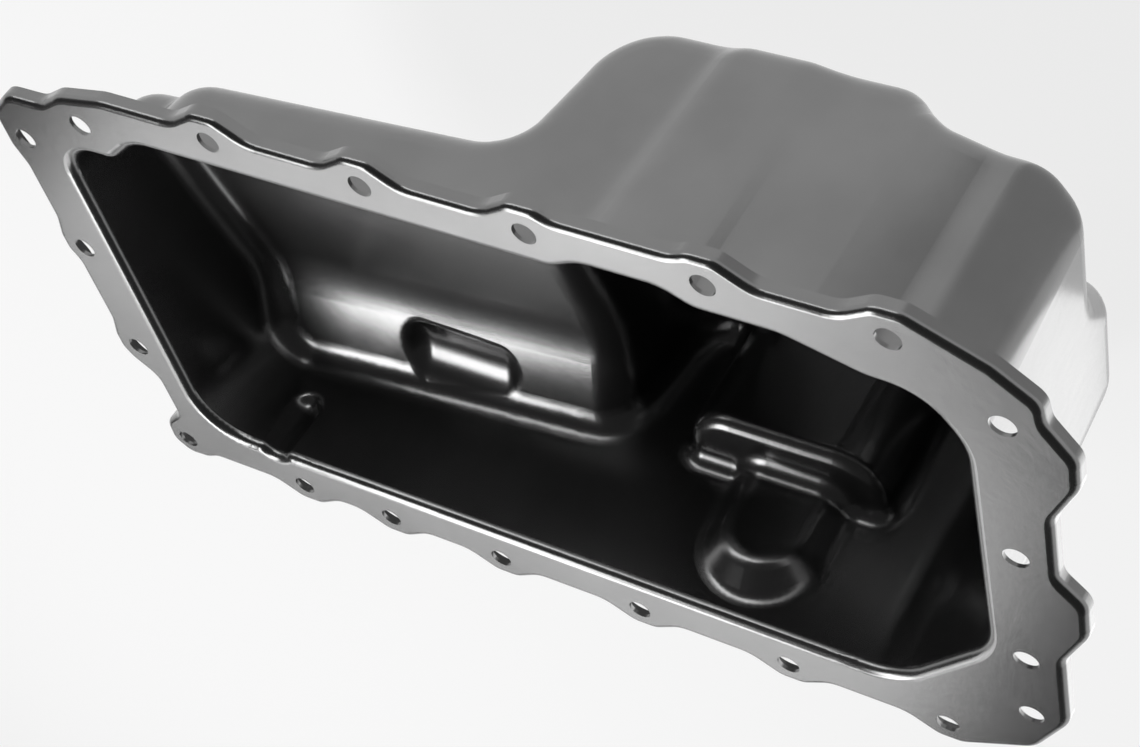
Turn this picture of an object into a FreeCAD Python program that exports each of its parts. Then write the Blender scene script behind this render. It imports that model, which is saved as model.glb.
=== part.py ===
"""Pressed steel engine oil pan: shallow trough, deep sump, turned-down rail and a screwed drain plug.

Millimetres. X runs along the long bolt rows, Y across the pan, Z up out of the mouth.
The origin is the middle of the bolt rows, on the sealing face. The sump hangs below it.
"""
import FreeCAD, Part
import Sketcher
import math
import os
from FreeCAD import Placement, Rotation, Vector

SIZES = [
    ("gauge", 1.5, "sheet thickness"),
    ("row_y", 105.0, "middle line to each long bolt row"),
    ("column_x", 190.0, "middle line to each end bolt column"),
    ("bolt_pitch", 63.0, "spacing of the evenly pitched bolts in both long rows"),
    ("pitch_start", 94.0, "place along X of the first evenly pitched bolt, minus Y row"),
    ("row_shift", 3.0, "how far the plus Y pitch lies past the minus Y pitch"),
    ("sump_bolt", 157.0, "place along X of the last bolt of each long row"),
    ("close_bolt", -85.0, "place along X of the first bolt of the close pair"),
    ("close_pitch", 44.0, "spacing of that close pair"),
    ("front_first", 76.2, "place along Y of the first trough end bolt"),
    ("front_pitch", 58.8, "spacing of the three trough end bolts"),
    ("foot_bolt", -102.0, "place along Y of the trough end corner bolt"),
    ("notch_bolt_x", -155.0, "place along X of the bolt in the notched corner"),
    ("notch_bolt_y", 93.4, "place along Y of the bolt in the notched corner"),
    ("rear_bolt_a", 80.0, "place along Y of the first sump end bolt"),
    ("rear_bolt_b", 14.5, "place along Y of the second sump end bolt"),
    ("rear_bolt_c", -43.5, "place along Y of the third sump end bolt"),
    ("rear_bolt_d", -77.3, "place along Y of the fourth sump end bolt"),
    ("bolt_hole", 9.0, "diameter of the rail's bolt holes"),
    ("rail_margin", 4.0, "long bolt row to the lip's face between lobes"),
    ("lobe_reach", 11.3, "bolt to the lip's face at a lobe"),
    ("lobe_top", 5.0, "half length of a lobe's flat top"),
    ("lobe_foot", 17.0, "half length of a lobe's foot"),
    ("lobe_round", 9.0, "radius of a lobe's outer corners"),
    ("scallop_round", 13.0, "radius of the hollow at a lobe's foot"),
    ("rear_margin", 13.0, "sump end column to the lip's face"),
    ("ear_reach", 22.0, "sump end column to the lip's face at the two ears"),
    ("front_margin", 8.3, "trough end column to the lip's face"),
    ("lip_height", 6.0, "height of the turned-down lip"),
    ("lip_bend", 2.8, "outer radius of the bend from rail to lip"),
    ("mouth_bend", 4.0, "upper radius of the bend from rail to wall"),
    ("plus_wall", 14.5, "plus Y bolt row to the inside of the wall"),
    ("minus_wall", 17.5, "minus Y bolt row to the inside of the wall"),
    ("front_wall", 16.5, "trough end column to the inside of the wall"),
    ("rear_wall", 13.5, "sump end column to the inside of the wall"),
    ("draft", 2.0, "lean of the walls in degrees"),
    ("front_lean", 9.0, "lean of the trough end's wall in degrees"),
    ("bulge", 5.5, "how far the plus Y wall bulges out over the sump"),
    ("waist", 8.0, "how far the plus Y wall steps in near the sump end"),
    ("notch", 12.5, "how far the wall steps in round the notched corner's bolt"),
    ("trough_depth", 69.4, "sealing face to the trough's lowest line at the step, inside"),
    ("trough_fall", 3.7, "fall of the trough floor towards the sump in degrees"),
    ("trough_low", -42.0, "place along Y of the trough's lowest line"),
    ("plus_rise", 10.0, "slope of the trough floor towards plus Y in degrees"),
    ("minus_rise", 14.0, "slope of the trough floor towards minus Y in degrees"),
    ("trough_round", 60.0, "inside radius along the trough's lowest line"),
    ("sump_depth", 122.0, "sealing face to the sump floor, inside"),
    ("cove_y", 66.0, "place along Y where the sump floor starts to rise"),
    ("cove_rise", 28.0, "slope of the sump floor's plus Y edge in degrees"),
    ("cove_round", 30.0, "inside radius where that slope starts"),
    ("step_x", -3.0, "place along X of the step's sharp upper edge"),
    ("step_lean", 7.0, "lean of the step from trough to sump in degrees"),
    ("crest_round", 16.0, "inside radius at the top of the step"),
    ("foot_round", 26.0, "inside radius at the foot of the step"),
    ("floor_round", 13.0, "inside radius between walls and floors"),
    ("end_floor_rise", 16.5, "height of the raised floor at the sump's end over the sump floor"),
    ("end_floor_x", 122.0, "place along X of the raised floor's near edge"),
    ("end_floor_y", 18.0, "place along Y of the raised floor's minus Y edge"),
    ("end_floor_corner", 24.0, "plan radius of the raised floor's free corner"),
    ("end_floor_edge", 10.0, "radius along the raised floor's edge"),
    ("end_floor_foot", 14.0, "inside radius at the foot of its slopes"),
    ("shelf_depth", 60.0, "sealing face to the shelf on the minus Y side, inside"),
    ("shelf_start", 25.0, "place along X of the shelf's trough side"),
    ("shelf_end", 108.0, "place along X of the shelf's far side"),
    ("shelf_y", -57.0, "place along Y of the shelf's front"),
    ("shelf_corner", 20.0, "plan radius of the shelf's corners"),
    ("shelf_edge", 6.0, "radius along the shelf's edge"),
    ("shelf_foot", 8.0, "inside radius round the shelf's foot"),
    ("pillar_x", 71.0, "place along X of the pillar over the shelf"),
    ("pillar_face", 15.0, "half width of the pillar's flat front"),
    ("pillar_reach", 11.0, "how far the pillar stands in from the wall"),
    ("pillar_top", 35.0, "sealing face to the centre of the pillar's round top"),
    ("pillar_edge", 9.0, "radius round the pillar's front"),
    ("pillar_foot", 8.0, "inside radius round the pillar's foot"),
    ("dip_start", -103.0, "place along X of the dip in the trough floor's minus Y corner"),
    ("dip_end", -48.0, "place along X of that dip's other end"),
    ("dip_round", 20.0, "inside radius across the dip"),
    ("dip_y", -64.0, "place along Y of the dip's lowest line"),
    ("dip_rise", 6.1, "trough's lowest line up to the dip's lowest line"),
    ("dip_corner", 10.0, "inside radius at the dip's ends"),
    ("dip_edge", 7.0, "outside radius round the dip's rim"),
    ("bead_x", -139.0, "place along X of the bead in the minus Y wall"),
    ("bead_round", 8.0, "inside radius of the bead"),
    ("bead_reach", 3.0, "how far the bead stands out"),
    ("bead_depth", 32.0, "sealing face to the bead's lower end, inside"),
    ("bead_foot", 5.0, "outside radius where the bead leaves the wall"),
    ("drain_x", 47.0, "place along X of the drain plug"),
    ("drain_y", 51.0, "place along Y of the drain plug"),
    ("boss_diameter", 28.0, "outer diameter of the drain boss"),
    ("boss_height", 5.0, "height of the drain boss under the sump"),
    ("boss_chamfer", 1.0, "chamfer round the boss's lower edge"),
    ("thread_diameter", 14.0, "outer diameter of the plug's thread"),
    ("thread_clearance", 0.05, "radial gap between plug and boss"),
    ("washer_diameter", 22.0, "outer diameter of the sealing washer"),
    ("washer_height", 1.5, "thickness of the sealing washer"),
    ("washer_clearance", 0.25, "radial gap between washer and plug"),
    ("head_diameter", 24.0, "diameter of the plug's round head"),
    ("head_height", 4.5, "height of the plug's head"),
    ("head_chamfer", 1.0, "chamfer round the head"),
    ("key_flats", 8.0, "width across the flats of the key's socket"),
    ("key_depth", 7.0, "depth of the key's socket"),
    ("shank_length", 12.0, "length of the plug's shank above its head"),
    ("point_chamfer", 1.5, "chamfer round the shank's end"),
]

BEYOND = 300.0
SIDE = 130.0
ABOVE = 20.0


def make_sheet(document):
    """Fills the spreadsheet with one named cell for each size."""
    sheet = document.addObject("Spreadsheet::Sheet", "Sizes")
    for row, (name, value, note) in enumerate(SIZES, start=1):
        sheet.set("A%d" % row, str(value))
        sheet.setAlias("A%d" % row, name)
        sheet.set("B%d" % row, note)
    document.recompute()
    return sheet


class Sizes:
    """The sheet's values, read by name."""

    def __init__(self, sheet):
        for name, _, _ in SIZES:
            setattr(self, name, float(sheet.get(name)))


def limited(points):
    """Keeps neighbouring corner radii within the side they share."""
    corners = [Vector(x, y, 0) for x, y, _ in points]
    count = len(points)
    reach = []
    for i, (_, _, radius) in enumerate(points):
        angle = (corners[i - 1] - corners[i]).getAngle(corners[(i + 1) % count] - corners[i])
        reach.append(radius / math.tan(angle / 2))
    fitted = []
    for i, (x, y, radius) in enumerate(points):
        room = 1.0
        for k in (i - 1, (i + 1) % count):
            side = (corners[k] - corners[i]).Length
            room = min(room, 0.98 * side / (reach[i] + reach[k]))
        fitted.append((x, y, radius * room))
    return fitted


def shifted(points, out):
    """Moves every side of a counter-clockwise outline outwards; round corners stay parallel."""
    moved = []
    for i, (x, y, radius) in enumerate(points):
        xa, ya, _ = points[i - 1]
        xb, yb, _ = points[(i + 1) % len(points)]
        before = Vector(x - xa, y - ya, 0).normalize()
        after = Vector(xb - x, yb - y, 0).normalize()
        sides = Vector(before.y + after.y, -before.x - after.x, 0)
        corner = sides * (out / (1 + before.dot(after)))
        turn = before.cross(after).z
        grown = radius + out if turn > 0 else radius - out
        moved.append((x + corner.x, y + corner.y, grown if radius > 0 else 0))
    return moved


def round_corner(here, before, after, radius):
    """Returns start, middle and end of the arc that rounds a corner; they coincide at a sharp one."""
    to_before = (before - here).normalize()
    to_after = (after - here).normalize()
    half = to_before.getAngle(to_after) / 2
    reach = radius / math.tan(half)
    middle = (to_before + to_after).normalize() * (radius / math.sin(half) - radius)
    return here + to_before * reach, here + middle, here + to_after * reach


def outline(points, height):
    """Closed wire of straight sides and round corners at one height."""
    corners = [Vector(x, y, height) for x, y, _ in points]
    arcs = []
    for i, (_, _, radius) in enumerate(points):
        arcs.append(round_corner(corners[i], corners[i - 1], corners[(i + 1) % len(corners)], radius))
    edges = []
    for i, (start, middle, end) in enumerate(arcs):
        if points[i][2] > 0:
            edges.append(Part.Arc(start, middle, end).toShape())
        edges.append(Part.LineSegment(end, arcs[(i + 1) % len(arcs)][0]).toShape())
    return Part.Wire(edges)


def prism(points, low, high):
    """Upright solid on an outline."""
    return Part.Face(outline(points, low)).extrude(Vector(0, 0, high - low))


def long_row_bolts(size, plus):
    """Places along X of one long row's bolts, from the sump end."""
    start = size.pitch_start + (size.row_shift if plus else 0)
    count = 4 if plus else 3
    places = [size.sump_bolt] + [start - k * size.bolt_pitch for k in range(count)]
    if not plus:
        places += [size.close_bolt, size.close_bolt - size.close_pitch]
    return places


def front_bolts(size):
    """Places along Y of the three evenly pitched trough end bolts."""
    return [size.front_first - k * size.front_pitch for k in range(3)]


def bolt_places(size):
    """Centres of all the rail's bolt holes."""
    places = [(x, size.row_y) for x in long_row_bolts(size, True)]
    places += [(x, -size.row_y) for x in long_row_bolts(size, False)]
    places += [(-size.column_x, y) for y in front_bolts(size) + [size.foot_bolt]]
    places += [(size.notch_bolt_x, size.notch_bolt_y)]
    rear = (size.rear_bolt_a, size.rear_bolt_b, size.rear_bolt_c, size.rear_bolt_d)
    return places + [(size.column_x, y) for y in rear]


def wall_line(size):
    """Inside of the wall where it would meet the sealing face, counter-clockwise."""
    front = size.front_wall - size.column_x
    rear = size.column_x - size.rear_wall
    minus = size.minus_wall - size.row_y
    plus = size.row_y - size.plus_wall
    bulge = size.pitch_start + size.row_shift - size.bolt_pitch / 2
    points = [(front, minus, 22), (rear - 38, minus, 30), (rear, minus + 42, 30)]
    points += [(rear, plus - 28, 26), (rear - 12, plus - 9, 21)]
    points += [(rear - 30, plus - size.waist, 22), (rear - 57, plus, 22)]
    points += [(bulge + 25, plus, 14), (bulge + 14, plus + size.bulge, 20)]
    points += [(bulge - 14, plus + size.bulge, 20), (bulge - 25, plus, 14)]
    points += [(front + 41, plus, 22), (front + 26, plus - size.notch, 8), (front, plus - size.notch, 18)]
    return limited(points)


def lobe(size, x, side):
    """Two outer corners of the lobe round a long row bolt, in the direction of travel."""
    reach = side * (size.row_y + size.lobe_reach)
    ends = (x + size.lobe_top * side, x - size.lobe_top * side)
    return [(end, reach, size.lobe_round) for end in ends]


def full_lobe(size, x, side):
    """Lobe with both of its feet on the plain edge."""
    base = side * (size.row_y + size.rail_margin)
    first = (x + size.lobe_foot * side, base, size.scallop_round)
    last = (x - size.lobe_foot * side, base, size.scallop_round)
    return [first] + lobe(size, x, side) + [last]


def rail_line(size):
    """Outer face of the lip, counter-clockwise from the trough end's minus Y corner."""
    minus_row = long_row_bolts(size, False)
    plus_row = long_row_bolts(size, True)
    base = size.row_y + size.rail_margin
    points = []
    for x in reversed(minus_row[1:]):
        points += full_lobe(size, x, -1)
    points += [(size.sump_bolt - size.lobe_foot, -base, size.scallop_round)]
    points += lobe(size, size.sump_bolt, -1)
    points += rear_edge(size)
    points += lobe(size, size.sump_bolt, 1)
    points += [(size.sump_bolt - size.lobe_foot, base, size.scallop_round)]
    points += bulge_edge(size, plus_row[1], plus_row[2])
    for x in plus_row[3:]:
        points += full_lobe(size, x, 1)
    points += front_edge(size)
    return limited(points)


def bulge_edge(size, first, second):
    """Edge over the wall's bulge, where two lobes nearly run together."""
    base = size.row_y + size.rail_margin
    high = base + size.bulge - 1
    points = [(first + size.lobe_foot, base, size.scallop_round)]
    points += lobe(size, first, 1)
    points += [(first - 11, high, size.scallop_round), (second + 11, high, size.scallop_round)]
    points += lobe(size, second, 1)
    return points + [(second - size.lobe_foot, base, size.scallop_round)]


def rear_edge(size):
    """Sump end of the rail, with its two ears."""
    edge = size.column_x + size.rear_margin
    ear = size.column_x + size.ear_reach
    points = [(size.column_x, 4.5 - size.row_y, 14), (edge, size.rear_bolt_d, 16)]
    feet = ((size.rear_bolt_b, -53, -34, -17, -7), (size.rear_bolt_a, -41, -22, -9, 4))
    for bolt, foot, low, high, end in feet:
        points += [(edge, bolt + foot, 12), (ear, bolt + low, 14)]
        points += [(ear, bolt + high, 9), (edge, bolt + end, 8)]
    return points + [(edge - 1, size.rear_bolt_a + 13, 8), (size.column_x - 2, size.row_y - 1, 10)]


def front_edge(size):
    """Notched corner, trough end and the corner bolt's lobe."""
    edge = -size.column_x - size.front_margin
    reach = -size.column_x - size.lobe_reach
    above, bolt = size.notch_bolt_y, size.notch_bolt_x
    points = [(bolt + 15, size.row_y + size.rail_margin, 20), (bolt - 7, above + size.lobe_reach, 14)]
    points += [(bolt - 18, above + 4.5, 10), (-size.column_x, above + 4.2, 10)]
    points += [(reach, size.front_first + 11, 10), (reach, size.front_first - 6, 12)]
    points += [(edge, size.front_first - 16, 12)]
    for y in front_bolts(size)[1:]:
        points += [(edge, y + 15, 12), (reach, y + 4, 9), (reach, y - 4, 9)]
        points += [(edge, y - 10, 12)]
    foot = size.foot_bolt
    points += [(1 - size.column_x, foot + 42, 10), (1 - size.column_x, foot + 17, 9)]
    points += [(0.5 - size.column_x - 10, foot + 7, 8), (-size.column_x - 10.5, foot - 4, 8)]
    points += [(-size.column_x - 3.5, foot - 11.3, 8), (7 - size.column_x, foot - 10.5, 8)]
    return points + [(14 - size.column_x, -size.row_y - size.rail_margin, 10)]


def walls(size, skin):
    """Drafted solid inside the wall line; skin moves its faces outwards."""
    depth = size.sump_depth + ABOVE
    lean = depth * math.tan(math.radians(size.draft))
    more = depth * math.tan(math.radians(size.front_lean)) - lean
    line = wall_line(size)
    low = shifted(line, skin - lean)
    low = [(x + more, y, radius) if x < size.dip_start else (x, y, radius) for x, y, radius in low]
    return Part.makeLoft([outline(shifted(line, skin), 0), outline(low, -depth)], True, True)


def along_x(points):
    """Block on a closed YZ outline, running along X under the whole pan."""
    face = Part.Face(outline(points, 0))
    face.Placement = Placement(Vector(-BEYOND, 0, 0), Rotation(Vector(1, 1, 1), 120))
    return face.extrude(Vector(2 * BEYOND, 0, 0))


def trough_ground(size, skin):
    """Ground under the trough floor, with a rounded valley that falls towards a leaning end."""
    low = -size.trough_depth
    minus = low + math.tan(math.radians(size.minus_rise)) * (SIDE + size.trough_low)
    plus = low + math.tan(math.radians(size.plus_rise)) * (SIDE - size.trough_low)
    points = [(-SIDE, -BEYOND, 0), (SIDE, -BEYOND, 0), (SIDE, plus, 0)]
    points += [(size.trough_low, low, size.trough_round), (-SIDE, minus, 0)]
    lean = math.radians(size.step_lean)
    top = size.step_x - math.tan(lean) * size.trough_depth - skin / math.cos(lean)
    foot = top + math.tan(lean) * 2 * BEYOND
    corners = [(top, 0), (2 * BEYOND, 0), (2 * BEYOND, -2 * BEYOND), (foot, -2 * BEYOND), (top, 0)]
    side = Part.Face(Part.makePolygon([Vector(x, -BEYOND, z) for x, z in corners]))
    valley = along_x(shifted(points, -skin))
    valley.rotate(Vector(size.step_x, 0, low), Vector(0, 1, 0), size.trough_fall)
    return valley.cut(side.extrude(Vector(0, 2 * BEYOND, 0)))


def sump_ground(size, skin):
    """Ground under the sump floor, rising towards its plus Y wall."""
    low = -size.sump_depth
    rise = math.tan(math.radians(size.cove_rise)) * (SIDE - size.cove_y)
    points = [(-SIDE, -BEYOND, 0), (SIDE, -BEYOND, 0), (SIDE, low + rise, 0)]
    points += [(size.cove_y, low, size.cove_round), (-SIDE, low, 0)]
    return along_x(shifted(points, -skin))


def end_floor(size, skin):
    """Raised block under the sump's far plus Y corner, with 45 degree sides."""
    shift = skin * math.tan(math.radians(22.5))
    x, y = size.end_floor_x + shift, size.end_floor_y + shift
    top = size.end_floor_rise - size.sump_depth - skin
    fall = size.sump_depth + ABOVE + top
    rings = []
    far = BEYOND - ABOVE
    for out, z in ((0, top), (fall, top - fall)):
        corners = [(x - out, y - out), (far, y - out), (far, far), (x - out, far), (x - out, y - out)]
        rings.append(Part.makePolygon([Vector(across, along, z) for across, along in corners]))
    block = Part.makeLoft(rings, True, True)
    free = [edge for edge in block.Edges if edge.BoundBox.XMax < x + 1 and edge.BoundBox.YMax < y + 1]
    block = block.makeFillet(size.end_floor_corner - skin, free)
    rim = [edge for edge in block.Edges if edge.BoundBox.ZMin > top - 1e-6]
    rim = [edge for edge in rim if edge.BoundBox.XMax < far - 1 or edge.BoundBox.YMax < far - 1]
    return block.makeFillet(size.end_floor_edge - skin, rim)


def is_sharp(solid, edge):
    """Whether two faces meet at an angle along an edge."""
    faces = solid.ancestorsOfType(edge, Part.Face)
    if len(faces) != 2:
        return False
    point = edge.valueAt((edge.FirstParameter + edge.LastParameter) / 2)
    first, second = [face.normalAt(*face.Surface.parameter(point)) for face in faces]
    return math.degrees(first.getAngle(second)) > 8


def step_edges(solid, size, crest):
    """Edges across the pan at the top or at the foot of the step."""
    chosen = []
    split = -(size.trough_depth + size.sump_depth) / 2
    for edge in solid.Edges:
        box = edge.BoundBox
        across = box.YLength > 1 and box.XLength < 30 and abs(box.Center.x - size.step_x) < 30
        if across and box.ZMin > -size.sump_depth - 5 and (box.Center.z > split) == crest:
            chosen.append(edge)
    return chosen


def end_floor_edges(solid, size):
    """Edges round the foot of the raised floor."""
    chosen = []
    for edge in solid.Edges:
        box = edge.BoundBox
        near = size.end_floor_x - 40 < box.XMin < BEYOND - 50 and box.YMax < SIDE - 10
        low = -5 < box.ZMin + size.sump_depth < size.end_floor_rise - 2.5
        if near and low and is_sharp(solid, edge):
            chosen.append(edge)
    return chosen


def ground(size, skin):
    """All the ground under the pan's floors, rounded along its steps."""
    solid = trough_ground(size, skin).fuse([sump_ground(size, skin), end_floor(size, skin)]).removeSplitter()
    solid = solid.makeFillet(size.crest_round - skin, step_edges(solid, size, True))
    solid = solid.makeFillet(size.foot_round + skin, step_edges(solid, size, False))
    return solid.makeFillet(size.end_floor_foot + skin, end_floor_edges(solid, size))


def floor_edges(solid):
    """Edges where an upright wall meets a floor."""
    chosen = []
    for edge in solid.Edges:
        if edge.BoundBox.ZMax < -1:
            faces = solid.ancestorsOfType(edge, Part.Face)
            upright = [face.BoundBox.ZMax > -0.5 for face in faces]
            if upright.count(True) == 1:
                chosen.append(edge)
    return chosen


def shelf(size, skin):
    """Upright block under the shelf, with rounded corners and edge."""
    start, end = size.shelf_start + skin, size.shelf_end - skin
    front, top = size.shelf_y - skin, -size.shelf_depth - skin
    depth = size.sump_depth + ABOVE
    block = Part.makeBox(end - start, SIDE + front, depth, Vector(start, -SIDE, top - depth))
    corners = [edge for edge in block.Edges if edge.BoundBox.ZLength > 1 and edge.BoundBox.YMin > front - 1]
    block = block.makeFillet(size.shelf_corner - skin, corners)
    rim = [edge for edge in block.Edges if edge.BoundBox.ZMin > top - 1e-6 and edge.BoundBox.YMax > 1 - SIDE]
    return block.makeFillet(size.shelf_edge - skin, rim)


def pillar(size, skin):
    """Upright pillar with 45 degree flanks, a flat front and a half round top."""
    front = size.minus_wall - size.row_y + size.pillar_reach - skin
    face = size.pillar_face - skin * math.tan(math.radians(22.5))
    back = SIDE + front
    x, z = size.pillar_x, -size.pillar_top
    half = face + back
    corners = [(x - face, front), (x + face, front), (x + half, -SIDE), (x - half, -SIDE), (x - face, front)]
    section = Part.Face(Part.makePolygon([Vector(across, along, z) for across, along in corners]))
    shaft = section.extrude(Vector(0, 0, size.pillar_top - size.shelf_depth - ABOVE))
    top = Part.makeCone(half, face, back, Vector(x, -SIDE, z), Vector(0, 1, 0))
    block = shaft.fuse(top).removeSplitter()
    low = z - size.shelf_depth + size.pillar_top
    rim = [e for e in block.Edges if e.BoundBox.YMin > front - 1e-6 and e.BoundBox.ZMax > low]
    return block.makeFillet(size.pillar_edge - skin, rim)


def dip(size, skin):
    """Lying round form of the dip in the trough floor, with round ends."""
    radius = size.dip_round + skin
    centre = size.dip_round + size.dip_rise - size.trough_depth
    start = Vector(size.dip_start - skin, size.dip_y, centre)
    shaft = Part.makeCylinder(radius, size.dip_end - size.dip_start + 2 * skin, start, Vector(1, 0, 0))
    ends = [edge for edge in shaft.Edges if edge.BoundBox.XLength < 1e-3]
    return shaft.makeFillet(size.dip_corner + skin, ends)


def bead(size, skin):
    """Upright round bead in the minus Y wall, with a round lower end."""
    radius = size.bead_round + skin
    y = size.minus_wall - size.row_y - size.bead_reach + size.bead_round
    centre = Vector(size.bead_x, y, size.bead_round - size.bead_depth)
    shaft = Part.makeCylinder(radius, -centre.z, centre)
    return shaft.fuse(Part.makeSphere(radius, centre)).removeSplitter()


def dented(solid, tool, radius, top):
    """Takes a tool's form out of a solid and rounds the new corner, below a given height."""
    solid = solid.cut(tool).removeSplitter()
    chosen = [edge for edge in solid.Edges if edge.BoundBox.ZMax < top and is_sharp(solid, edge)]
    return solid.makeFillet(radius, chosen)


def pressed(solid, tool, radius):
    """Adds a tool's form to a solid and rounds its rim."""
    solid = solid.fuse(tool).removeSplitter()
    rim = [edge for edge in solid.Edges if edge.BoundBox.ZMin < -1 and is_sharp(solid, edge)]
    return solid.makeFillet(radius, rim)


def pan_form(size, skin):
    """Solid inside one skin of the pan, up to the sealing face."""
    solid = walls(size, skin).cut(ground(size, skin)).Solids[0]
    solid = solid.makeFillet(size.floor_round + skin, floor_edges(solid))
    solid = dented(solid, shelf(size, skin), size.shelf_foot + skin, -20)
    solid = dented(solid, pillar(size, skin), size.pillar_foot + skin, -5)
    solid = pressed(solid, dip(size, skin), size.dip_edge - skin)
    return pressed(solid, bead(size, skin), size.bead_foot - skin)


def flared(form, plate, height, radius):
    """Joins a form to a plate above it and rounds the corner between them."""
    solid = form.fuse(plate).removeSplitter()
    chosen = []
    for edge in solid.Edges:
        box = edge.BoundBox
        if abs(box.ZMin - height) < 1e-6 and abs(box.ZMax - height) < 1e-6:
            faces = solid.ancestorsOfType(edge, Part.Face)
            if min(face.BoundBox.ZMin for face in faces) < height - 2 * radius:
                chosen.append(edge)
    return solid.makeFillet(radius, chosen)


def inner_form(size):
    """Everything above the pan's upper skin, out to beyond the rail."""
    plate = Part.makeBox(2 * BEYOND, 2 * BEYOND, ABOVE, Vector(-BEYOND, -BEYOND, 0))
    return flared(pan_form(size, 0), plate, 0, size.mouth_bend)


def outer_form(size):
    """Solid inside the pan's lower skin, with the underside of the mouth's bend."""
    bend = size.mouth_bend - size.gauge
    form = pan_form(size, size.gauge)
    below = form.cut(Part.makeBox(2 * BEYOND, 2 * BEYOND, ABOVE, Vector(-BEYOND, -BEYOND, -size.gauge)))
    plate = prism(shifted(wall_line(size), size.gauge + bend + size.bead_reach + 0.3), -size.gauge, 0)
    return flared(below, plate, -size.gauge, bend)


def rail(size):
    """Flat rail with its turned-down lip, before the mouth and the holes are cut."""
    line = rail_line(size)
    block = prism(line, -size.lip_height, 0)
    block = block.makeFillet(size.lip_bend, [e for e in block.Edges if e.BoundBox.ZMin > -1e-6])
    under = prism(shifted(line, -size.gauge), -size.lip_height - ABOVE, -size.gauge)
    rim = [e for e in under.Edges if e.BoundBox.ZMin > -size.gauge - 1e-6]
    return block.cut(under.makeFillet(size.lip_bend - size.gauge, rim))


def bolt_drills(size):
    """Drills for the rail's bolt holes."""
    drills = []
    for x, y in bolt_places(size):
        start = Vector(x, y, -size.gauge - 1)
        drills.append(Part.makeCylinder(size.bolt_hole / 2, size.gauge + 2, start))
    return drills


def drain_drill(size):
    """Drill for the opening over the drain boss."""
    low = -size.sump_depth - size.gauge - 1
    radius = size.thread_diameter / 2 + size.thread_clearance
    return Part.makeCylinder(radius, size.gauge + 2, Vector(size.drain_x, size.drain_y, low))


def pan_shape(size):
    """The whole pressing: rail, lip, walls, trough and sump from one sheet."""
    solid = rail(size).fuse(outer_form(size)).cut(inner_form(size))
    return solid.cut(bolt_drills(size) + [drain_drill(size)]).removeSplitter()


def total(size, *terms):
    """Sum of sheet values, each times a factor: the number now and the expression that follows it."""
    value = sum(getattr(size, name) * factor for name, factor in terms)
    return value, " + ".join("Sizes.%s * %g" % term for term in terms)


def washer_profile(size):
    """Corners of the washer's half section, from its lower face."""
    inner = total(size, ("thread_diameter", 0.5), ("washer_clearance", 1))
    outer = total(size, ("washer_diameter", 0.5))
    low = total(size)
    high = total(size, ("washer_height", 1))
    return [(inner, low), (outer, low), (outer, high), (inner, high)]


def boss_profile(size):
    """Corners of the boss's half section, from the underside of the sump floor."""
    bore = total(size, ("thread_diameter", 0.5), ("thread_clearance", 1))
    outer = total(size, ("boss_diameter", 0.5))
    face = total(size, ("boss_diameter", 0.5), ("boss_chamfer", -1))
    low = total(size, ("boss_height", -1))
    edge = total(size, ("boss_height", -1), ("boss_chamfer", 1))
    high = total(size, ("gauge", 1))
    return [(bore, low), (face, low), (outer, edge), (outer, high), (bore, high)]


def plug_profile(size):
    """Corners of the plug's half section, from the seat under its head."""
    axis = total(size)
    seat = total(size)
    face = total(size, ("head_diameter", 0.5), ("head_chamfer", -1))
    rim = total(size, ("head_diameter", 0.5))
    low = total(size, ("head_height", -1))
    edge = total(size, ("head_height", -1), ("head_chamfer", 1))
    shank = total(size, ("thread_diameter", 0.5))
    point = total(size, ("thread_diameter", 0.5), ("point_chamfer", -1))
    neck = total(size, ("shank_length", 1), ("point_chamfer", -1))
    tip = total(size, ("shank_length", 1))
    head = [(axis, low), (face, low), (rim, edge), (rim, seat)]
    return head + [(shank, seat), (shank, neck), (point, tip), (axis, tip)]


def draw_profile(body, name, corners):
    """Closed half section in the body's XZ plane, every corner tied to the sheet."""
    sketch = body.newObject("Sketcher::SketchObject", name)
    plane = [feature for feature in body.Origin.OriginFeatures if feature.Role == "XZ_Plane"][0]
    sketch.AttachmentSupport = (plane, [""])
    sketch.MapMode = "FlatFace"
    places = [Vector(across[0], up[0], 0) for across, up in corners]
    last = len(corners) - 1
    for i, start in enumerate(places):
        sketch.addGeometry(Part.LineSegment(start, places[0 if i == last else i + 1]), False)
    for i, (across, up) in enumerate(corners):
        sketch.addConstraint(Sketcher.Constraint("Coincident", last if i == 0 else i - 1, 2, i, 1))
        for kind, (value, expression) in (("DistanceX", across), ("DistanceY", up)):
            number = sketch.addConstraint(Sketcher.Constraint(kind, -1, 1, i, 1, value))
            if expression:
                sketch.setExpression("Constraints[%d]" % number, expression)
    return sketch


def turned(document, name, corners):
    """Body turned about Z from a half section."""
    body = document.addObject("PartDesign::Body", name)
    sketch = draw_profile(body, name + "_section", corners)
    turning = body.newObject("PartDesign::Revolution", name + "_turning")
    turning.Profile = sketch
    turning.ReferenceAxis = (sketch, ["V_Axis"])
    turning.Angle = 360
    return body


def place(item, height):
    """Puts an item on the drain's axis at a height tied to the sheet."""
    item.setExpression(".Placement.Base.x", "Sizes.drain_x")
    item.setExpression(".Placement.Base.y", "Sizes.drain_y")
    item.setExpression(".Placement.Base.z", height)


def make_pan(document, size):
    """The pressing and the form of its underside."""
    pan = document.addObject("Part::Feature", "pan_body")
    pan.Shape = pan_shape(size)
    pan.Placement = Placement()
    under = document.addObject("Part::Feature", "pan_underside")
    under.Shape = outer_form(size)
    under.Placement = Placement()
    return pan, under


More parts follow.
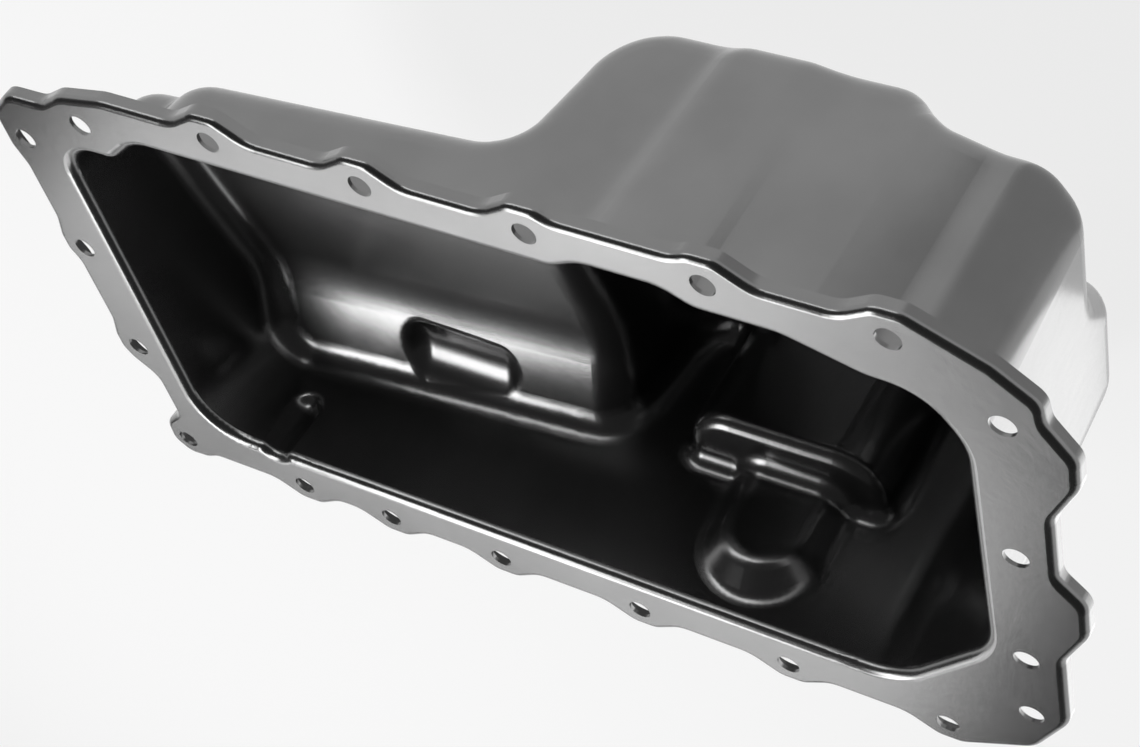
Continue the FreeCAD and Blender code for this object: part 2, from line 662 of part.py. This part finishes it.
def make_boss(document, size, under):
    """Welded boss, its top shaped to the sump floor."""
    blank = turned(document, "boss_blank", boss_profile(size))
    place(blank, "-Sizes.sump_depth - Sizes.gauge")
    boss = document.addObject("Part::Cut", "drain_boss")
    boss.Base = blank
    boss.Tool = under
    return boss


def make_washer(document, size):
    """Sealing washer under the boss."""
    ring = turned(document, "drain_washer", washer_profile(size))
    place(ring, "-Sizes.sump_depth - Sizes.gauge - Sizes.boss_height - Sizes.washer_height")
    return ring


def make_plug(document, size):
    """Drain plug with a hexagonal socket in its round head."""
    seat = "-Sizes.sump_depth - Sizes.gauge - Sizes.boss_height - Sizes.washer_height"
    blank = turned(document, "plug_blank", plug_profile(size))
    socket = document.addObject("Part::Prism", "plug_socket")
    socket.Polygon = 6
    socket.setExpression("Circumradius", "Sizes.key_flats / sqrt(3)")
    socket.setExpression("Height", "Sizes.key_depth + 1")
    socket.setExpression(".Placement.Base.z", "-Sizes.head_height - 1")
    plug = document.addObject("Part::Cut", "drain_plug")
    plug.Base = blank
    plug.Tool = socket
    place(plug, seat)
    return plug


def check(document, pieces):
    """Stops when an object failed or a piece is not one sound solid."""
    for item in document.Objects:
        if "Invalid" in item.State or "Error" in item.State:
            raise RuntimeError("object failed: " + item.Name)
    for piece in pieces:
        shape = piece.Shape
        if shape.isNull() or not shape.isValid() or len(shape.Solids) != 1:
            raise RuntimeError("piece not sound: " + piece.Name)


def main():
    """Builds the document and writes each piece."""
    os.makedirs("parts", exist_ok=True)
    document = FreeCAD.newDocument("oil_pan")
    size = Sizes(make_sheet(document))
    pan, under = make_pan(document, size)
    pieces = [pan, make_boss(document, size, under), make_washer(document, size), make_plug(document, size)]
    document.recompute()
    check(document, pieces)
    for piece in pieces:
        piece.Label = piece.Name
        piece.Shape.exportStep("parts/%s.step" % piece.Label)


main()
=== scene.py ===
"""Looks of a pressed steel engine oil pan, laid out as an add-on for Blender.

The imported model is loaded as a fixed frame. The operators below give each of
its nodes a finish, lay the weld round the drain boss, and set up the floor,
the lights and the camera. Lengths are in metres and the frame is the pan's:
+Z up out of the mouth, +X along the long rows of holes towards the deep sump.
"""

import math

import bmesh
import bpy
from bpy.props import (
    FloatProperty,
    FloatVectorProperty,
    IntProperty,
    PointerProperty,
)
from mathutils import Euler, Matrix, Vector
from mathutils.bvhtree import BVHTree


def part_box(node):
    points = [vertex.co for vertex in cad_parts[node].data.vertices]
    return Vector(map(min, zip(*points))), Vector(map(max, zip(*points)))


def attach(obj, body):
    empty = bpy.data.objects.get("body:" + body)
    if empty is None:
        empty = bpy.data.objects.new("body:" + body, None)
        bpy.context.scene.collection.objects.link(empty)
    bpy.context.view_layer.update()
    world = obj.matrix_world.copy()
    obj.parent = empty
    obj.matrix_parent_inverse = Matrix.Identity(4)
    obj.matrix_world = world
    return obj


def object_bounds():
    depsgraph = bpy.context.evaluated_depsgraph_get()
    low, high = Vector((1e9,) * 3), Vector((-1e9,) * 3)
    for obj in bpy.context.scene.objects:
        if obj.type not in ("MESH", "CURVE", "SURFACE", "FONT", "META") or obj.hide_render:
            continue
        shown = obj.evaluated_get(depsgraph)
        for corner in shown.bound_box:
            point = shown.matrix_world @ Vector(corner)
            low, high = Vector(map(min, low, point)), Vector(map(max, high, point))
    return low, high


bl_info = {
    "name": "Engine Oil Pan Looks",
    "version": (1, 0, 0),
    "blender": (4, 5, 0),
    "location": "3D View > Sidebar > Oil Pan",
    "description": "Finishes, weld and studio for a pressed steel oil pan",
    "category": "Object",
}

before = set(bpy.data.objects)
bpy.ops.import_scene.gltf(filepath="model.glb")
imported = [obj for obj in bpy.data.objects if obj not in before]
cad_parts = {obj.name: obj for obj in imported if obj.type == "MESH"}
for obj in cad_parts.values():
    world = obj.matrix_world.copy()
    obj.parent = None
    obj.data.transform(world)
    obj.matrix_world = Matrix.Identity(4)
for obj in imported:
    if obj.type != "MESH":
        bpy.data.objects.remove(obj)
CAD_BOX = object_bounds()
BOSS_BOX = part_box("drain_boss")
# The floor leaves room under the pan for the drain plug to be screwed out.
PLUG_ROOM = 0.011
FLOOR_LEVEL = CAD_BOX[0].z - PLUG_ROOM


# Shader maths

# The mix node's sockets for two colours, and its colour output
MIX_SHARE, MIX_FIRST, MIX_SECOND = 0, 6, 7
MIX_COLOUR = 2


class Signal:
    """A socket inside a material that takes ordinary arithmetic."""

    def __init__(self, finish, socket):
        self.finish = finish
        self.socket = socket

    def out(self, key):
        """Another output of the node that this signal comes from."""
        return Signal(self.finish, self.socket.node.outputs[key])

    def maths(self, operation, *values):
        return self.finish.node(
            "ShaderNodeMath", {"operation": operation}, dict(enumerate(values))
        )

    def __add__(self, other):
        return self.maths("ADD", self, other)

    __radd__ = __add__

    def __mul__(self, other):
        return self.maths("MULTIPLY", self, other)

    __rmul__ = __mul__

    def __sub__(self, other):
        return self.maths("SUBTRACT", self, other)

    def __rsub__(self, other):
        return self.maths("SUBTRACT", other, self)

    def __truediv__(self, other):
        return self.maths("DIVIDE", self, other)

    def __pow__(self, other):
        return self.maths("POWER", self, other)

    def clipped(self):
        """The value held between 0 and 1."""
        return self.maths("MINIMUM", self.maths("MAXIMUM", self, 0.0), 1.0)

    def zigzag(self):
        """Up to a half and down to 0 again, over each rise of 1."""
        return self.maths("PINGPONG", self, 0.5)

    def between(self, low, high):
        """0 at low, 1 at high, and a smooth rise from one to the other."""
        return self.finish.node(
            "ShaderNodeMapRange",
            {"interpolation_type": "SMOOTHSTEP"},
            {"Value": self, "From Min": low, "From Max": high},
        )


class Finish:
    """A node tree that is being built, for a material or for the world."""

    def __init__(self, owner):
        owner.use_nodes = True
        self.owner = owner
        self.tree = owner.node_tree
        self.tree.nodes.clear()

    def node(self, kind, settings=None, sockets=None):
        """Adds a node, sets it, fills its sockets and returns its first output."""
        made = self.tree.nodes.new(kind)
        for name, value in (settings or {}).items():
            setattr(made, name, value)
        for key, value in (sockets or {}).items():
            if isinstance(value, Signal):
                self.tree.links.new(value.socket, made.inputs[key])
            else:
                made.inputs[key].default_value = value
        return Signal(self, made.outputs[0]) if made.outputs else None

    def object_place(self):
        """The point's place on the piece, in metres."""
        return self.node("ShaderNodeTexCoord").out("Object")

    def parts_of(self, place):
        """The three numbers of a vector."""
        split = self.node("ShaderNodeSeparateXYZ", None, {"Vector": place})
        return split, split.out("Y"), split.out("Z")

    def stretched(self, place, scale):
        """A place for a pattern that is stretched along the axes."""
        return self.node(
            "ShaderNodeMapping",
            {"vector_type": "TEXTURE"},
            {"Vector": place, "Scale": scale},
        )

    def grain(self, place, per_metre, detail=3.0, roughness=0.5):
        """A cloudy pattern from 0 to 1 with so many lumps to a metre."""
        return self.node(
            "ShaderNodeTexNoise",
            {"noise_dimensions": "3D"},
            {
                "Vector": place,
                "Scale": per_metre,
                "Detail": detail,
                "Roughness": roughness,
            },
        )

    def blended(self, share, first, second):
        """The first colour where share is 0 and the second where it is 1."""
        mix = self.node(
            "ShaderNodeMix",
            {"data_type": "RGBA"},
            {MIX_SHARE: share, MIX_FIRST: first, MIX_SECOND: second},
        )
        return mix.out(MIX_COLOUR)

    def mottled(self, share, colour, darkest, lightest):
        """The colour, darkened where share is 0 and lightened where it is 1."""
        return self.blended(share, shaded(colour, darkest), shaded(colour, lightest))

    def bumps(self, height, depth, under=None):
        """A surface normal from a height, deep by so many metres."""
        sockets = {"Height": height, "Distance": depth, "Strength": 1.0}
        if under:
            sockets["Normal"] = under
        return self.node("ShaderNodeBump", None, sockets)

    def surface(self, **sockets):
        """Joins a principled shader to the output and returns the material."""
        named = {name.replace("_", " "): value for name, value in sockets.items()}
        shader = self.node("ShaderNodeBsdfPrincipled", None, named)
        self.node("ShaderNodeOutputMaterial", None, {"Surface": shader})
        return self.owner


def new_finish(name):
    return Finish(bpy.data.materials.new(name))


def shaded(colour, scale):
    """The colour made darker or lighter, and opaque."""
    return (*(part * scale for part in colour), 1.0)


# Settings

# Distance from the boss's side to the middle of the weld's bead
WELD_STAND_OFF = 0.0004


class OilPanFinishes(bpy.types.PropertyGroup):
    """Colours and gloss of the pan's finishes."""

    coat_colour: FloatVectorProperty(
        name="Coat Colour",
        description="Colour of the pan's dip coating",
        subtype="COLOR",
        size=3,
        min=0,
        max=1,
        default=(0.20, 0.20, 0.20),
    )
    coat_metallic: FloatProperty(
        name="Coat Metal Share",
        description="How metal-like the coating's gloss is",
        subtype="FACTOR",
        min=0,
        max=1,
        default=0.97,
    )
    coat_roughness: FloatProperty(
        name="Coat Roughness",
        description="How far the coating spreads a reflection",
        subtype="FACTOR",
        min=0,
        max=1,
        default=0.24,
    )
    coat_ripple: FloatProperty(
        name="Coat Ripple",
        description="Height of the fine ripple left by dipping",
        unit="LENGTH",
        default=0.00001,
    )
    plug_colour: FloatVectorProperty(
        name="Plug Colour",
        description="Colour of the drain plug's plated steel",
        subtype="COLOR",
        size=3,
        min=0,
        max=1,
        default=(0.30, 0.30, 0.31),
    )
    washer_colour: FloatVectorProperty(
        name="Washer Colour",
        description="Colour of the drain plug's sealing washer",
        subtype="COLOR",
        size=3,
        min=0,
        max=1,
        default=(0.62, 0.62, 0.62),
    )
    thread_pitch: FloatProperty(
        name="Thread Pitch",
        description="Rise of the drain plug's thread in one turn",
        unit="LENGTH",
        default=0.0015,
    )


class OilPanWeld(bpy.types.PropertyGroup):
    """Sizes of the weld round the drain boss."""

    radius: FloatProperty(
        name="Ring Radius",
        description="Distance from the drain's axis to the weld's middle",
        unit="LENGTH",
        default=(BOSS_BOX[1].x - BOSS_BOX[0].x) / 2 + WELD_STAND_OFF,
    )
    width: FloatProperty(
        name="Bead Radius",
        description="Radius of the bead's rounded section",
        unit="LENGTH",
        default=0.0017,
    )
    ripples: IntProperty(
        name="Ripples",
        description="Number of ripples along the ring",
        min=1,
        default=46,
    )
    ripple_depth: FloatProperty(
        name="Ripple Depth",
        description="How far the bead swells and shrinks along the ring",
        unit="LENGTH",
        default=0.00022,
    )


class OilPanStudio(bpy.types.PropertyGroup):
    """Camera, floor and light."""

    lens: FloatProperty(
        name="Lens",
        description="Focal length on a 36 mm wide sensor, in millimetres",
        default=71.125,
    )
    camera_place: FloatVectorProperty(
        name="Camera Place",
        description="Where the camera stands",
        subtype="XYZ",
        size=3,
        unit="LENGTH",
        default=(0.3772, 0.5918, 0.3559),
    )
    camera_turn: FloatVectorProperty(
        name="Camera Turn",
        description="How the camera is turned",
        subtype="EULER",
        size=3,
        default=tuple(math.radians(a) for a in (-56.56, 29.586, -13.671)),
    )
    floor_size: FloatProperty(
        name="Floor Size",
        description="Side of the square floor",
        unit="LENGTH",
        default=14.0,
    )
    ceiling_shade: FloatProperty(
        name="Ceiling Shade",
        description="How bright the studio is overhead",
        subtype="FACTOR",
        min=0,
        max=1,
        default=0.05,
    )


# Pieces

# A cloudy pattern's heights differ by about this share of its range.
GRAIN_SPAN = 0.25
# Distances from the drain's axis, and heights, between which the thread fades in
SHANK_EDGE = (0.0072, 0.0071)
THREAD_END = (BOSS_BOX[0].z - 0.0004, BOSS_BOX[0].z + 0.0004)
THREAD_DEPTH = 0.0006
# How finely the weld's bead is divided
BEAD_SIDES = 12
STEPS_IN_RIPPLE = 6
MERGE_DISTANCE = 1e-6


class OilPanOperator:
    """What the operators below share."""

    bl_options = {"REGISTER", "UNDO"}

    @staticmethod
    def dress(node, material):
        """Gives a node of the frame its finish."""
        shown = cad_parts[node].data
        shown.materials.clear()
        shown.materials.append(material)
        shown.polygons.foreach_set("material_index", [0] * len(shown.polygons))

    @staticmethod
    def as_object(shape, name, material):
        """Turns a drawn shape into an object of the scene."""
        mesh = bpy.data.meshes.new(name)
        shape.to_mesh(mesh)
        shape.free()
        mesh.materials.append(material)
        made = bpy.data.objects.new(name, mesh)
        bpy.context.scene.collection.objects.link(made)
        return made


class OILPAN_OT_coat(OilPanOperator, bpy.types.Operator):
    """Gives the pan and its drain boss their satin dip coating"""

    bl_idname = "oilpan.coat"
    bl_label = "Coat the Pan"

    def execute(self, context):
        material = coated_steel(context.scene.oilpan_finishes)
        self.dress("pan_body", material)
        self.dress("drain_boss", material)
        return {"FINISHED"}


def coated_steel(sizes):
    """Satin black dip coating on drawn steel, with a fine ripple."""
    coat = new_finish("coated_steel")
    place = coat.object_place()
    fine = coat.grain(place, per_metre=1400.0, detail=2.0)
    ripple = coat.grain(place, per_metre=260.0)
    upright = coat.stretched(place, scale=(1, 1, 9))
    drawn = coat.grain(upright, per_metre=420.0, roughness=0.6)
    cloud = coat.grain(place, per_metre=20.0, detail=4.0, roughness=0.55)
    roughness = (
        sizes.coat_roughness
        + 0.05 * (cloud - 0.5)
        + 0.06 * (fine - 0.5)
        + 0.04 * (drawn - 0.5)
    )
    height = 0.55 * ripple + 0.25 * fine + 0.2 * drawn
    return coat.surface(
        Base_Color=coat.mottled(cloud, sizes.coat_colour, darkest=0.8, lightest=1.2),
        Metallic=sizes.coat_metallic,
        Roughness=roughness,
        Normal=coat.bumps(height, depth=sizes.coat_ripple / GRAIN_SPAN),
    )


class OILPAN_OT_hardware(OilPanOperator, bpy.types.Operator):
    """Gives the drain plug and its washer their metal"""

    bl_idname = "oilpan.hardware"
    bl_label = "Finish the Drain Plug"

    def execute(self, context):
        sizes = context.scene.oilpan_finishes
        self.dress("drain_plug", plated_plug(sizes))
        self.dress("drain_washer", soft_washer(sizes))
        return {"FINISHED"}


def round_drain(finish, place):
    """Distance from the drain's axis, the turn about it, where 1 is a whole
    turn, and the height."""
    low, high = BOSS_BOX
    x, y, z = finish.parts_of(place)
    x = x - (low.x + high.x) / 2
    y = y - (low.y + high.y) / 2
    distance = (x * x + y * y) ** 0.5
    turn = x.maths("ARCTAN2", y, x) / (2 * math.pi)
    return distance, turn, z


def turning_marks(distance, per_metre):
    """Rings round the drain's axis, as a lathe leaves them."""
    return (distance * per_metre).zigzag()


def plated_plug(sizes):
    """Dull plated steel with turning marks, and a thread on the shank."""
    plug = new_finish("plug_steel")
    place = plug.object_place()
    distance, turn, z = round_drain(plug, place)
    fine = plug.grain(place, per_metre=2600.0)
    cloud = plug.grain(place, per_metre=120.0, detail=4.0)
    flank = (z / sizes.thread_pitch + turn).zigzag() * 2.0
    shank = distance.between(*SHANK_EDGE) * z.between(*THREAD_END)
    thread = plug.bumps(flank * shank, depth=THREAD_DEPTH)
    marks = turning_marks(distance, per_metre=2600.0) * (1 - shank)
    worn = cloud.between(0.35, 0.75)
    return plug.surface(
        Base_Color=plug.mottled(worn, sizes.plug_colour, darkest=0.8, lightest=1.15),
        Metallic=1.0,
        Roughness=0.30 + 0.14 * cloud + 0.08 * fine,
        Normal=plug.bumps(marks + 0.6 * fine, depth=0.00002, under=thread),
    )


def soft_washer(sizes):
    """Plain soft metal with turning marks and a slightly uneven gloss."""
    washer = new_finish("washer_metal")
    place = washer.object_place()
    cloud = washer.grain(place, per_metre=180.0, detail=4.0)
    marks = turning_marks(round_drain(washer, place)[0], per_metre=3400.0)
    return washer.surface(
        Base_Color=washer.mottled(
            cloud, sizes.washer_colour, darkest=0.85, lightest=1.08
        ),
        Metallic=1.0,
        Roughness=0.26 + 0.16 * cloud,
        Normal=washer.bumps(marks + 0.5 * cloud, depth=0.000015),
    )


class OILPAN_OT_weld(OilPanOperator, bpy.types.Operator):
    """Lays the weld round the drain boss, where it meets the sump's floor"""

    bl_idname = "oilpan.weld"
    bl_label = "Weld the Drain Boss"

    def execute(self, context):
        sizes = context.scene.oilpan_weld
        low, high = BOSS_BOX
        middle = Vector(((low.x + high.x) / 2, (low.y + high.y) / 2, low.z))
        bead = bmesh.new()
        bmesh.ops.create_circle(bead, segments=BEAD_SIDES, radius=sizes.width)
        bmesh.ops.rotate(
            bead, verts=bead.verts, matrix=Matrix.Rotation(math.pi / 2, 3, "X")
        )
        bmesh.ops.translate(bead, verts=bead.verts, vec=(sizes.radius, 0, 0))
        bmesh.ops.spin(
            bead,
            geom=bead.verts[:] + bead.edges[:],
            axis=(0, 0, 1),
            angle=2 * math.pi,
            steps=sizes.ripples * STEPS_IN_RIPPLE,
            use_merge=True,
        )
        bmesh.ops.remove_doubles(bead, verts=bead.verts, dist=MERGE_DISTANCE)
        self.lay(bead, middle, sizes)
        bmesh.ops.recalc_face_normals(bead, faces=bead.faces)
        weld = self.as_object(bead, "boss_weld", bpy.data.materials["coated_steel"])
        faces = weld.data.polygons
        faces.foreach_set("use_smooth", [True] * len(faces))
        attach(weld, "pan")
        return {"FINISHED"}

    @staticmethod
    def lay(bead, middle, sizes):
        """Swells the bead along the ring and sets it on the floor's outside."""
        under = BVHTree.FromObject(
            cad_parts["pan_body"], bpy.context.evaluated_depsgraph_get()
        )
        for vert in bead.verts:
            turn = math.atan2(vert.co.y, vert.co.x)
            ring = Vector((math.cos(turn), math.sin(turn), 0)) * sizes.radius
            wave = math.sin(turn * sizes.ripples)
            swell = 1 + wave * sizes.ripple_depth / sizes.width
            start = middle + ring
            hit = under.ray_cast(start, Vector((0, 0, 1)))[0]
            if hit is None:
                raise RuntimeError("the weld found no floor to lie on")
            vert.co = Vector((start.x, start.y, hit.z)) + (vert.co - ring) * swell


# Stage

# Each lamp's place, the point that it faces, its width, height and brightness
SOFT_BOXES = {
    "high_box": ((-0.64, -0.32, 1.05), (0, -0.32, 0), 0.90, 0.38, 7.0),
    "rim_box": ((-0.50, -0.78, 1.00), (-0.50, 0, 0), 0.40, 0.32, 6.5),
    "far_box": ((-0.80, -1.27, 0.84), (0, 0, 0), 1.15, 0.44, 2.5),
    "side_box": ((-0.72, 1.30, 0.42), (0, 0, 0), 1.30, 0.22, 4.0),
    "low_box": (
        (0.345, -0.23, FLOOR_LEVEL + 0.003), (0.345, -0.23, 1), 0.32, 0.40, 1.4
    ),
}
# Middle, width and depth of a glowing card that shows only in the pan's gloss, where it
# paints a darker reflection on the sump's wall
PAINTED_SHADE_CARD = ((0.35, 0.32, FLOOR_LEVEL + 0.002), 0.41, 0.60)
# How bright the card glows. It is dimmer than the floor, so the reflection it paints on
# the wall is painted shade.
PAINTED_SHADE_GLOW = 0.62
# How much of the floor is plain white, where it is seen outright
FLOOR_GLOW = 0.8
# A ray's rise at which the studio's walls start and stop to grow dim
WALL_DIMMING = (0.15, 0.33)
SENSOR_WIDTH = 36
NEAREST_SEEN = 0.01
WHITE = (1, 1, 1, 1)


class OILPAN_OT_studio(OilPanOperator, bpy.types.Operator):
    """Sets up the floor, the studio's walls, the soft lights and the camera"""

    bl_idname = "oilpan.studio"
    bl_label = "Set Up the Studio"

    def execute(self, context):
        sizes = context.scene.oilpan_studio
        side = sizes.floor_size
        self.card("floor", (0, 0, FLOOR_LEVEL), side, side, pale_floor())
        # A glowing card, hidden from the camera, from diffuse light and from shadows,
        # paints shade into the pan's reflections.
        card = self.card("painted_shade_card", *PAINTED_SHADE_CARD, painted_shade_card())
        card.visible_camera = card.visible_diffuse = card.visible_shadow = False
        self.walls(context.scene, sizes)
        for name, light in SOFT_BOXES.items():
            self.soft_box(name, *light)
        self.camera(context.scene, sizes)
        context.scene.view_settings.view_transform = "Standard"
        return {"FINISHED"}

    def card(self, name, middle, width, depth, material):
        """A flat sheet of the stage, lying face up."""
        shape = bmesh.new()
        bmesh.ops.create_grid(shape, x_segments=1, y_segments=1, size=0.5)
        bmesh.ops.scale(shape, verts=shape.verts, vec=(width, depth, 1))
        bmesh.ops.translate(shape, verts=shape.verts, vec=middle)
        sheet = self.as_object(shape, name, material)
        return sheet

    @staticmethod
    def walls(scene, sizes):
        """A studio with pale walls near the floor and a dim ceiling."""
        scene.world = bpy.data.worlds.new("studio")
        walls = Finish(scene.world)
        rise = walls.parts_of(walls.node("ShaderNodeTexCoord"))[2]
        dim = rise.between(*WALL_DIMMING)
        shade = 1.0 - dim * (1.0 - sizes.ceiling_shade)
        light = walls.node(
            "ShaderNodeBackground", None, {"Color": WHITE, "Strength": shade}
        )
        walls.node("ShaderNodeOutputWorld", None, {"Surface": light})

    @staticmethod
    def soft_box(name, place, aim, width, height, brightness):
        """A lamp as a lit panel at a place, facing a point."""
        lamp = bpy.data.lights.new(name, "AREA")
        lamp.shape = "RECTANGLE"
        lamp.size = width
        lamp.size_y = height
        lamp.energy = brightness * math.pi * width * height
        panel = bpy.data.objects.new(name, lamp)
        bpy.context.scene.collection.objects.link(panel)
        panel.location = place
        back = Vector(place) - Vector(aim)
        panel.rotation_euler = back.to_track_quat("Z", "Y").to_euler()
        panel.visible_camera = False

    @staticmethod
    def camera(scene, sizes):
        """The camera that sees the pan as the photo does."""
        lens = bpy.data.cameras.new("camera")
        lens.lens = sizes.lens
        lens.sensor_width = SENSOR_WIDTH
        lens.clip_start = NEAREST_SEEN
        camera = bpy.data.objects.new("camera", lens)
        camera.location = sizes.camera_place
        camera.rotation_euler = Euler(sizes.camera_turn)
        scene.collection.objects.link(camera)
        scene.camera = camera


def glow(finish, strength):
    """A shader that shines evenly white."""
    return finish.node(
        "ShaderNodeEmission", None, {"Color": WHITE, "Strength": strength}
    )


def painted_shade_card():
    """Grey glow that the gloss of the sump's far wall picks up towards its end, a painted
    darker reflection there.
    """
    card = new_finish("painted_shade_card")
    card.node("ShaderNodeOutputMaterial", None, {"Surface": glow(card, PAINTED_SHADE_GLOW)})
    return card.owner


def pale_floor():
    """White where it is seen, and a little darker in the pan's shadow."""
    floor = new_finish("pale_floor")
    rays = floor.node("ShaderNodeLightPath")
    seen = (
        rays.out("Is Camera Ray") * FLOOR_GLOW
        + rays.out("Is Glossy Ray")
        + rays.out("Is Transmission Ray") * FLOOR_GLOW
    ).clipped()
    cloth = floor.node("ShaderNodeBsdfDiffuse", None, {"Color": (0.8, 0.8, 0.8, 1)})
    mixed = floor.node(
        "ShaderNodeMixShader", None, {"Fac": seen, 1: cloth, 2: glow(floor, 1.0)}
    )
    floor.node("ShaderNodeOutputMaterial", None, {"Surface": mixed})
    return floor.owner


# Panel


class OILPAN_PT_sidebar(bpy.types.Panel):
    """Lists the steps that dress the pan"""

    bl_idname = "OILPAN_PT_sidebar"
    bl_label = "Oil Pan"
    bl_space_type = "VIEW_3D"
    bl_region_type = "UI"
    bl_category = "Oil Pan"

    def draw(self, context):
        scene = context.scene
        for group in (scene.oilpan_finishes, scene.oilpan_weld, scene.oilpan_studio):
            box = self.layout.box()
            for name in group.bl_rna.properties.keys():
                if name not in ("rna_type", "name"):
                    box.prop(group, name)
        for step in STEPS:
            self.layout.operator(step.bl_idname)


STEPS = (OILPAN_OT_coat, OILPAN_OT_hardware, OILPAN_OT_weld, OILPAN_OT_studio)
GROUPS = {
    "oilpan_finishes": OilPanFinishes,
    "oilpan_weld": OilPanWeld,
    "oilpan_studio": OilPanStudio,
}
CLASSES = (*GROUPS.values(), *STEPS, OILPAN_PT_sidebar)


def register():
    for made in CLASSES:
        bpy.utils.register_class(made)
    for name, group in GROUPS.items():
        setattr(bpy.types.Scene, name, PointerProperty(type=group))


def unregister():
    for name in GROUPS:
        delattr(bpy.types.Scene, name)
    for made in reversed(CLASSES):
        bpy.utils.unregister_class(made)


def main():
    register()
    bpy.ops.oilpan.coat()
    bpy.ops.oilpan.hardware()
    bpy.ops.oilpan.weld()
    bpy.ops.oilpan.studio()


if __name__ == "__main__":
    main()
